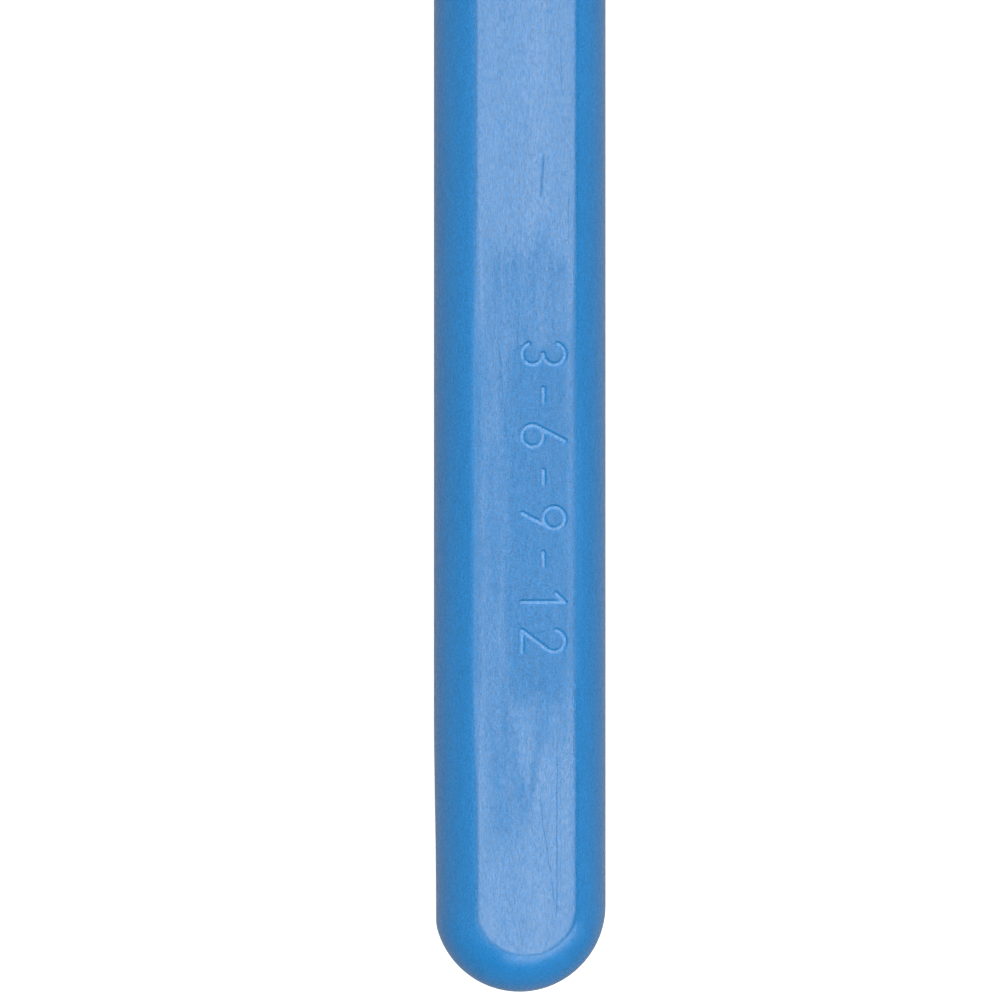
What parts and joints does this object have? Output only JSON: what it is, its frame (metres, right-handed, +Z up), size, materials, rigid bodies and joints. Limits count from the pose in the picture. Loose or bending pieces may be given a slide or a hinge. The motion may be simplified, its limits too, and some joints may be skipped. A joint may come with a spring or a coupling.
{
  "type": "periodontal probe",
  "caption": "Slim periodontal probe: flat-sided blue moulded handle with a half-round butt and ribbed grip, round a cranked steel shank with a tapered, ball-ended tip banded in black.",
  "frame": {"origin": "middle of the handle's flat back, on which the probe lies", "axes": "+Y from the butt to the working end, +Z up out of the front flat that carries the depth figures, +X to the side that the tip points to"},
  "size_m": [0.0152, 0.1614, 0.0053],
  "materials": {
    "handle_plastic": "injection-moulded polypropylene, satin gloss with faint flow streaks",
    "stainless_steel": "satin-polished stainless wire, ground to a fine tip",
    "band_black": "matt black epoxy fill"
  },
  "bodies": {
    "root": {"handle": "handle_plastic", "probe_shank": "stainless_steel", "depth_band_3_6": "band_black", "depth_band_9_12": "band_black"}
  },
  "joints": []
}
